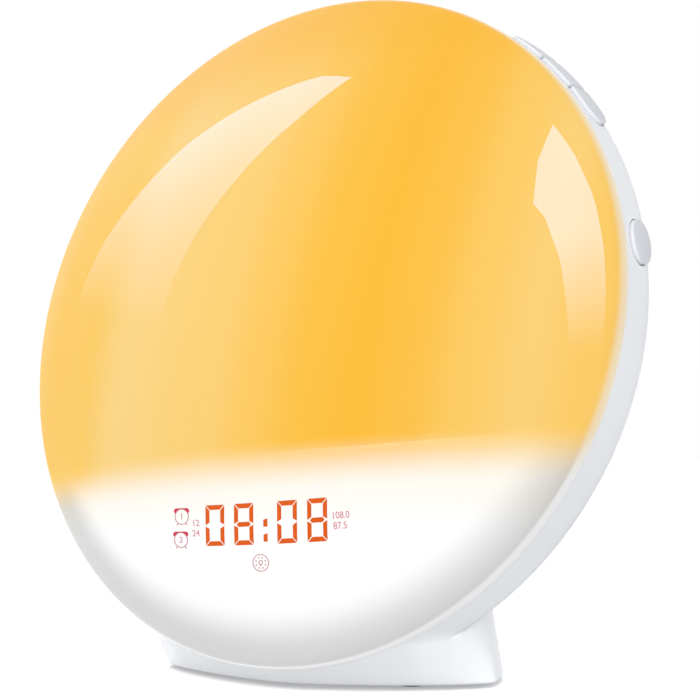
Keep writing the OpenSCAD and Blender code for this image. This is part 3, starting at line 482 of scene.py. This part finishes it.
def mark_bar(x0, y0, x1, y1, width):
    length = math.hypot(x1 - x0, y1 - y0)
    dx, dy = (x1 - x0) / length * width / 2, (y1 - y0) / length * width / 2
    return mark_outline([(x0 - dy, y0 + dx), (x0 + dy, y0 - dx), (x1 + dy, y1 - dx), (x1 - dy, y1 + dx)])


def mark_numeral(text, x, y, height):
    """Number in the plain built-in font, converted at a size where its outline fills well, then scaled down."""
    bpy.ops.object.text_add(location=(x * MM, y * MM, 0))
    letters = started("mark")
    letters.data.body = text
    letters.data.align_x = "CENTER"
    letters.data.align_y = "CENTER"
    letters.data.size = height * 1.4
    pick(letters)
    bpy.ops.object.convert(target="MESH")
    bpy.context.object.scale = (MM, MM, MM)
    bpy.ops.object.transform_apply(location=True, rotation=True, scale=True)
    return started("mark")


def on_dome(name, marks, material):
    """Joins flat marks, gives them a little thickness and lays them on the dome."""
    piece = joined(name, marks)
    pick(piece)
    bpy.ops.object.transform_apply(location=True, rotation=True, scale=True)
    edit(piece)
    bpy.ops.mesh.normals_make_consistent(inside=False)
    bpy.ops.mesh.quads_convert_to_tris()
    bpy.ops.mesh.extrude_region_move(TRANSFORM_OT_translate={"value": (0, 0, MARK_T)})
    bpy.ops.mesh.select_all(action="SELECT")
    bpy.ops.mesh.normals_make_consistent(inside=False)
    bpy.ops.object.mode_set(mode="OBJECT")
    for vertex in piece.data.vertices:
        vertex.co = dome_point(vertex.co.x, vertex.co.y, vertex.co.z)
    edit(piece)
    bpy.ops.mesh.normals_make_consistent(inside=False)
    bpy.ops.object.mode_set(mode="OBJECT")
    piece.data.materials.clear()
    piece.data.materials.append(material)
    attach(piece, "root")
    return piece


DIGIT_W, DIGIT_H, BAR_W, BAR_GAP = 5.78, 10.32, 1.2, 0.17
DIGIT_SLANT = 0.128
DIGITS_Y = 0.16
DIGITS_X = (-14.25, -5.46, 7.38, 16.17)
COLON_X = 3.9
ICON_WIDTH, ICON_SLANT = 1.1, 0.1


def digit_bars(lit):
    """Corner lists of the lit bars of one digit whose lower left corner is at (0, 0)."""
    w, h, t, g = DIGIT_W, DIGIT_H, BAR_W, BAR_GAP
    mid = h / 2
    top = [(g, h), (w - g, h), (w - t - g, h - t), (t + g, h - t)]
    bottom = [(x, h - y) for x, y in top]
    centre = [(g + t / 2, mid), (t + g, mid + t / 2), (w - t - g, mid + t / 2),
              (w - g - t / 2, mid), (w - t - g, mid - t / 2), (t + g, mid - t / 2)]
    high_left = [(0, h - g), (t, h - t - g), (t, mid + t / 2 + g), (0, mid + g)]
    low_left = [(x, h - y) for x, y in high_left]
    high_right = [(w - x, y) for x, y in high_left]
    low_right = [(w - x, y) for x, y in low_left]
    bars = [top, high_right, low_right, bottom, low_left, high_left, centre]
    return [bars[i] for i in lit]


def lit_time():
    """The time, as four slanted digits and a colon."""
    marks = []
    zero, eight = (0, 1, 2, 3, 4, 5), (0, 1, 2, 3, 4, 5, 6)
    low = DIGITS_Y - DIGIT_H / 2

    def slanted(points, x):
        return mark_outline([(x + px + (py - DIGIT_H / 2) * DIGIT_SLANT, low + py) for px, py in points])

    for x, lit in zip(DIGITS_X, (zero, eight, zero, eight)):
        marks += [slanted(points, x) for points in digit_bars(lit)]
    for bottom, top in ((0.65, 2.7), (4.3, 6.35)):
        half_w = BAR_W / 2
        marks.append(slanted([(-half_w, bottom), (half_w, bottom), (half_w, top), (-half_w, top - 0.3)], COLON_X))
    return marks


def widened(marks, x, y):
    """Widens and slants the marks of an icon about its middle."""
    for mark in marks:
        for vertex in mark.data.vertices:
            across, high = vertex.co.x - x * MM, vertex.co.y - y * MM
            vertex.co.x = x * MM + across * ICON_WIDTH + high * ICON_SLANT
    return marks


def alarm_icon(x, y, number):
    """Outline of a small twin bell clock with its number."""
    marks = [mark_ring(x, y, 1.95, 0.22), mark_numeral(number, x, y, 1.6)]
    for s in (-1, 1):
        marks.append(mark_bar(x + s * 1.05, y - 1.65, x + s * 1.55, y - 2.2, 0.26))
    return widened(marks, x, y)


def alarm_bells(x, y):
    """The two bells on top of the clock outline, with the bar that joins them."""
    marks = [mark_bar(x - 1.6, y + 2.05, x + 1.6, y + 2.05, 0.32)]
    for s in (-1, 1):
        cap = [(-0.72, -0.2), (0.72, -0.2), (0.68, 0.25), (0.4, 0.58), (0, 0.68), (-0.4, 0.58), (-0.68, 0.25)]
        turn = -s * math.radians(40)
        marks.append(mark_outline([
            (x + s * 1.55 + px * math.cos(turn) - py * math.sin(turn),
             y + 1.5 + px * math.sin(turn) + py * math.cos(turn)) for px, py in cap]))
    return widened(marks, x, y)


def lamp_icon(x, y):
    """Ring with a small bulb and eight dots."""
    marks = [mark_ring(x, y, 2.1, 0.2, 48), mark_ring(x, y + 0.1, 0.5, 0.2, 24)]
    marks.append(mark_bar(x - 0.25, y - 0.65, x + 0.25, y - 0.65, 0.2))
    for i in range(8):
        a = math.radians(45 * i + 22.5)
        marks.append(mark_disc(x + 1.35 * math.cos(a), y + 1.35 * math.sin(a), 0.2, 10))
    return widened(marks, x, y)


def lit_mark(name, colour):
    """Light that shows through the white field: even colour with soft flecks from the wall."""
    material, tree, shader, place = new_material(name)
    fleck = add(tree, "ShaderNodeTexNoise", {"Vector": place, "Scale": 900.0, "Detail": 2.0}).outputs["Fac"]
    tone = add(tree, "ShaderNodeHueSaturation",
               {"Color": colour, "Value": ranged(tree, fleck, 0.3, 0.7, 0.94, 1.06, "LINEAR")}).outputs["Color"]
    tree.links.new(mixed(tree, 1.0, tone, WALL_TONE, "MULTIPLY"), shader.inputs["Base Color"])
    tree.links.new(mixed(tree, 1.0, tone, WALL_GLOW, "MULTIPLY"), shader.inputs["Emission Color"])
    shader.inputs["Emission Strength"].default_value = 1.0
    shader.inputs["Roughness"].default_value = 0.3
    shader.inputs["Specular IOR Level"].default_value = 0.1
    bump(tree, shader, fleck, 0.001)
    return material


ALARM_1 = (-21.56, 2.7)
ALARM_2 = (-22.71, -3.34)

time_light = lit_mark("time_light", seen(224, 94, 24))
icon_light = lit_mark("icon_light", seen(196, 132, 138))
number_light = lit_mark("number_light", seen(214, 128, 146))
bell_light = lit_mark("bell_light", seen(212, 62, 84))
on_dome("lit_time", lit_time(), time_light)
on_dome("lit_icons", alarm_icon(*ALARM_1, "1") + alarm_icon(*ALARM_2, "2") + lamp_icon(0.98, -9.53),
        icon_light)
on_dome("lit_bells", alarm_bells(*ALARM_1) + alarm_bells(*ALARM_2), bell_light)
on_dome("lit_numbers", [mark_numeral("12", -17.3, 0.89, 1.7), mark_numeral("24", -17.6, -1.72, 1.7),
        mark_numeral("108.0", 25.9, 0.84, 1.7), mark_numeral("87.5", 25.5, -1.6, 1.7)], number_light)


# ---------- Materials of the frame's own nodes ----------

def circuit_board(name, colour):
    """Solder mask over fine copper tracks, with plated dots."""
    material, tree, shader, place = new_material(name)
    cells = add(tree, "ShaderNodeTexVoronoi", {"Vector": place, "Scale": 260.0}, distance="CHEBYCHEV")
    tracks = add(tree, "ShaderNodeTexBrick", {"Vector": place, "Scale": 150.0, "Mortar Size": 0.05,
                                             "Mortar Smooth": 0.4, "Brick Width": 1.7, "Row Height": 0.23})
    light = tuple(min(1.0, c * 1.8 + 0.02) for c in colour)
    tone = mixed(tree, maths(tree, "MULTIPLY", tracks.outputs["Fac"], 0.7), colour, light)
    dots = ranged(tree, cells.outputs["Distance"], 0.10, 0.16, 1.0, 0.0)
    tone = mixed(tree, maths(tree, "MULTIPLY", dots, 0.6), tone, (0.62, 0.52, 0.28))
    tree.links.new(tone, shader.inputs["Base Color"])
    shader.inputs["Roughness"].default_value = 0.35
    shader.inputs["Coat Weight"].default_value = 0.4
    shader.inputs["Coat Roughness"].default_value = 0.2
    bump(tree, shader, maths(tree, "ADD", tracks.outputs["Fac"], dots), 0.03)
    return material


SLOTS = {
    "housing": moulded("housing", seen(238, 240, 243), 0.36, 0.03, 2600.0, 0.003, coat=0.08),
    "key_plastic": moulded("key_plastic", seen(214, 216, 221), 0.44, 0.03, 2600.0, 0.0008),
    "base_plastic": moulded("base_plastic", seen(222, 224, 229), 0.5, 0.04, 1500.0, 0.02),
    "rubber_pad": moulded("rubber_pad", seen(52, 52, 54), 0.75, 0.12, 900.0, 0.03, sheen=0.2),
    "screw_steel": metal("screw_steel", (0.66, 0.67, 0.69), 0.28),
    "weight_steel": metal("weight_steel", (0.42, 0.43, 0.45), 0.46, 3.0, 0.02),
    "white_inner": moulded("white_inner", (0.86, 0.86, 0.85), 0.55, 0.03, 1600.0, 0.008),
    "lamp_board_white": moulded("lamp_board_white", (0.84, 0.84, 0.80), 0.4, 0.04, 1200.0, 0.01, coat=0.3),
    "lamp_phosphor": moulded("lamp_phosphor", (0.95, 0.68, 0.22), 0.25, 0.06, 1400.0, 0.01, coat=0.5),
    "black_plastic": moulded("black_plastic", (0.022, 0.022, 0.025), 0.42, 0.1, 1700.0, 0.01),
    "circuit_green": circuit_board("circuit_green", (0.022, 0.115, 0.05)),
    "display_case": moulded("display_case", (0.80, 0.79, 0.76), 0.4, 0.04, 1600.0, 0.01),
    "display_orange": lit_mark("display_orange", seen(224, 94, 24)),
    "ribbon_grey": moulded("ribbon_grey", (0.45, 0.45, 0.46), 0.45, 0.1, 700.0, 0.02),
    "capacitor_sleeve": moulded("capacitor_sleeve", (0.02, 0.03, 0.07), 0.22, 0.1, 1200.0, 0.004, coat=0.6),
    "cell_steel": metal("cell_steel", (0.72, 0.73, 0.74), 0.22),
    "grommet_rubber": moulded("grommet_rubber", (0.03, 0.03, 0.032), 0.7, 0.1, 900.0, 0.02, sheen=0.2),
    "basket_steel": metal("basket_steel", (0.16, 0.165, 0.18), 0.42, 6.0),
    "cone_paper": moulded("cone_paper", (0.03, 0.03, 0.033), 0.85, 0.25, 600.0, 0.05, sheen=0.15),
    "magnet_ferrite": moulded("magnet_ferrite", (0.06, 0.06, 0.065), 0.6, 0.2, 800.0, 0.03),
    "plunger_plastic": moulded("plunger_plastic", (0.46, 0.48, 0.52), 0.3, 0.05, 1600.0, 0.005),
}

for part in frame["record"]["subparts"]:
    node, slot = part["node"], part["material_slot"]
    if slot in SLOTS:
        mesh = frame["nodes"][node].data
        mesh.materials.clear()
        mesh.materials.append(SLOTS[slot])


# ---------- The rear housing, shaded smooth ----------

def merged_copy(node, name):
    """Copy of a node whose loose triangles are merged into one skin."""
    source = frame["nodes"][node]
    piece = bpy.data.objects.new(name, source.data.copy())
    bpy.context.scene.collection.objects.link(piece)
    pick(piece)
    bpy.ops.mesh.customdata_custom_splitnormals_clear()
    edit(piece)
    bpy.ops.mesh.remove_doubles(threshold=0.002 * MM)
    bpy.ops.object.mode_set(mode="OBJECT")
    return piece


housing = smoothed(merged_copy("rear_housing", "housing_skin"), 38)
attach(housing, "root")
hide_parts("rear_housing")


# ---------- Keys with softened edges ----------

def softened(node, width, body):
    """Copy of a node with its corners rounded over, in place of it."""
    piece = merged_copy(node, node + "_soft")
    edit(piece)
    bpy.ops.mesh.tris_convert_to_quads(face_threshold=math.radians(1), shape_threshold=math.radians(180))
    bpy.ops.mesh.dissolve_limited(angle_limit=math.radians(0.5))
    bpy.ops.object.mode_set(mode="OBJECT")
    modified(piece, "BEVEL", width=width, segments=3, limit_method="ANGLE", angle_limit=math.radians(35),
             harden_normals=False)
    smoothed(piece, 35)
    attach(piece, body)
    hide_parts(node)
    return piece


for key in ["top_key"] + [s + "_key_" + k for s in ("right", "left") for k in ("low", "mid", "high", "oval")]:
    softened(key, 0.3 * MM, key)


# ---------- Camera, floor and lamps ----------

HEADING, PITCH, ROLL = math.radians(29.796), math.radians(6.927), math.radians(-3.549)
FOCAL = 946.28
IMAGE = 700
CAMERA_AT = Vector((145.06 * MM, -231.63 * MM, 56.12 * MM))
CAMERA_TURN = (Matrix.Rotation(HEADING, 4, "Z") @ Matrix.Rotation(math.pi / 2 + PITCH, 4, "X")
               @ Matrix.Rotation(ROLL, 4, "Z"))

camera_data = bpy.data.cameras.new("camera")
camera = bpy.data.objects.new("camera", camera_data)
bpy.context.scene.collection.objects.link(camera)
camera.matrix_world = Matrix.Translation(CAMERA_AT) @ CAMERA_TURN
camera_data.sensor_width = 36
camera_data.lens = FOCAL * camera_data.sensor_width / IMAGE
camera_data.clip_start = 0.01
bpy.context.scene.camera = camera


def mirrored(px, py):
    """Where a ray from the camera, by its place in the frame, meets the dome, and where it goes from there."""
    ray = CAMERA_TURN.to_3x3() @ Vector(((px - IMAGE / 2) / FOCAL, -(py - IMAGE / 2) / FOCAL, -1)).normalized()
    centre = FACE @ Vector((0, 0, -BALL_DROP))
    back = CAMERA_AT - centre
    along = back.dot(ray)
    depth = max(0, along * along - back.length_squared + BALL_R * BALL_R)
    point = CAMERA_AT + ray * (-along - math.sqrt(depth))
    normal = (point - centre).normalized()
    return point, ray - 2 * ray.dot(normal) * normal


def light_card(name, outline, distance, colour, strength, low, high):
    """Soft box that only shows as a reflection, with the outline it shows in; it fades between two heights."""
    rays = [mirrored(px, py) for px, py in outline]
    facing = sum((ray for _, ray in rays), Vector()).normalized()
    anchor = FACE_CENTRE + facing * distance
    bpy.ops.mesh.primitive_circle_add(vertices=len(outline), radius=distance, fill_type="NGON")
    card = started(name)
    for vertex, (point, ray) in zip(card.data.vertices, rays):
        vertex.co = point + ray * ((anchor - point).dot(facing) / ray.dot(facing))
    material = bpy.data.materials.new(name)
    material.use_nodes = True
    tree = material.node_tree
    tree.nodes.clear()
    height = add(tree, "ShaderNodeSeparateXYZ", {0: tree.nodes.new("ShaderNodeTexCoord").outputs["Object"]}).outputs[2]
    bright = tuple(1 + strength * c for c in colour)
    faded = mixed(tree, ranged(tree, height, low, high, kind="LINEAR"), (1.0, 1.0, 1.0), bright)
    sharp = tree.nodes.new("ShaderNodeLightPath").outputs["Is Singular Ray"]
    shade = add(tree, "ShaderNodeEmission", {"Color": mixed(tree, sharp, (1.0, 1.0, 1.0), faded), "Strength": 1.0})
    tree.links.new(shade.outputs[0], tree.nodes.new("ShaderNodeOutputMaterial").inputs["Surface"])
    card.data.materials.append(material)
    for flag in ("camera", "diffuse", "transmission", "shadow", "volume_scatter"):
        setattr(card, "visible_" + flag, False)
    return card


CARD_TINT = (0.25, 0.5, 1.0)
light_card("left_card", [
    (352, 77), (322, 76), (280, 90), (230, 115), (182, 149), (140, 193), (104, 243), (80, 295), (66, 350),
    (150, 372), (158, 330), (172, 283), (200, 228), (240, 175), (298, 119)], 0.8, CARD_TINT, 14.0, 0.37, 0.96)
light_card("right_card", [
    (553, 124), (575, 155), (597, 205), (608, 250), (612, 300), (611, 360), (570, 360), (566, 300),
    (560, 260), (545, 218), (533, 203), (538, 160)], 0.8, CARD_TINT, 18.0, 0.24, 0.52)


def lamp(name, place, target, size, power, colour):
    """Soft rectangular lamp that doesn't show in gloss."""
    data = bpy.data.lights.new(name, "AREA")
    data.shape = "RECTANGLE"
    data.size, data.size_y = size
    data.energy = power
    data.color = colour
    lamp_object = bpy.data.objects.new(name, data)
    bpy.context.scene.collection.objects.link(lamp_object)
    lamp_object.location = place
    lamp_object.rotation_euler = (Vector(target) - Vector(place)).to_track_quat("-Z", "Y").to_euler()
    lamp_object.visible_glossy = False
    lamp_object.visible_camera = False
    return lamp_object


lamp("key_lamp", (-0.5, -0.9, 1.2), (0, 0, 0.1), (0.9, 0.9), 2.0, (1.0, 1.0, 1.0))
lamp("right_lamp", (1.0, -0.45, 0.4), (0, 0, 0.1), (0.8, 0.8), 4.0, (1.0, 1.0, 1.0))
lamp("front_lamp", (-0.1, -1.3, 0.2), (0, 0, 0.08), (0.8, 0.3), 12.0, (1.0, 1.0, 1.0))
lamp("back_lamp", (-0.5, 1.2, 0.6), (0, 0, 0.1), (0.9, 0.9), 6.0, (1.0, 1.0, 1.0))

foot_spot = bpy.data.lights.new("foot_spot", "SPOT")
foot_spot.energy = 1.2
foot_spot.spot_size = math.radians(10)
foot_spot.spot_blend = 1.0
foot_spot.shadow_soft_size = 0.01
spot_object = bpy.data.objects.new("foot_spot", foot_spot)
bpy.context.scene.collection.objects.link(spot_object)
spot_object.location = (0.45, -0.30, 0.066)
spot_object.rotation_euler = (Vector((0.075, 0.0, -0.004)) - Vector((0.45, -0.30, 0.066))).to_track_quat("-Z", "Y").to_euler()
spot_object.visible_glossy = False

world = bpy.data.worlds.new("studio")
bpy.context.scene.world = world
world.use_nodes = True
tree = world.node_tree
tree.nodes.clear()
path = tree.nodes.new("ShaderNodeLightPath")
sky = add(tree, "ShaderNodeBackground", {"Color": (0.97, 0.98, 1.0), "Strength": 0.5})
backdrop = add(tree, "ShaderNodeBackground", {"Color": (1.0, 1.0, 1.0), "Strength": 1.0})
shows = maths(tree, "MAXIMUM", path.outputs["Is Camera Ray"], path.outputs["Is Transmission Ray"])
shows = maths(tree, "MAXIMUM", shows, path.outputs["Is Glossy Ray"])
both = add(tree, "ShaderNodeMixShader", {0: shows, 1: sky.outputs[0], 2: backdrop.outputs[0]})
tree.links.new(both.outputs[0], tree.nodes.new("ShaderNodeOutputWorld").inputs["Surface"])

bpy.ops.mesh.primitive_plane_add(size=6.0)
floor = started("floor")
floor_material, tree, shader, place = new_material("floor")
shader.inputs["Base Color"].default_value = (0.52, 0.52, 0.52, 1)
shader.inputs["Roughness"].default_value = 0.9
shader.inputs["Specular IOR Level"].default_value = 0.1
# painted contact shadow: the floor's added white glow is weaker where the clock hems the floor in
open_to_light = add(tree, "ShaderNodeAmbientOcclusion", {"Distance": 4 * MM}, samples=8).outputs["AO"]
paper = add(tree, "ShaderNodeBsdfDiffuse", {"Color": (0.8, 0.8, 0.8)})
white = add(tree, "ShaderNodeEmission", {"Color": (1.0, 1.0, 1.0), "Strength": ranged(tree, open_to_light, 0.2, 0.85, 0.25, 0.8)})
lifted = add(tree, "ShaderNodeAddShader", {0: paper.outputs[0], 1: white.outputs[0]})
path = tree.nodes.new("ShaderNodeLightPath")
shows = maths(tree, "MAXIMUM", path.outputs["Is Camera Ray"], path.outputs["Is Transmission Ray"])
shows = maths(tree, "MAXIMUM", shows, path.outputs["Is Glossy Ray"])
choice = add(tree, "ShaderNodeMixShader", {0: shows, 1: shader.outputs[0], 2: lifted.outputs[0]})
output = [n for n in tree.nodes if n.type == "OUTPUT_MATERIAL"][0]
tree.links.new(choice.outputs[0], output.inputs["Surface"])
floor.data.materials.append(floor_material)

bpy.context.scene.view_settings.view_transform = "Standard"
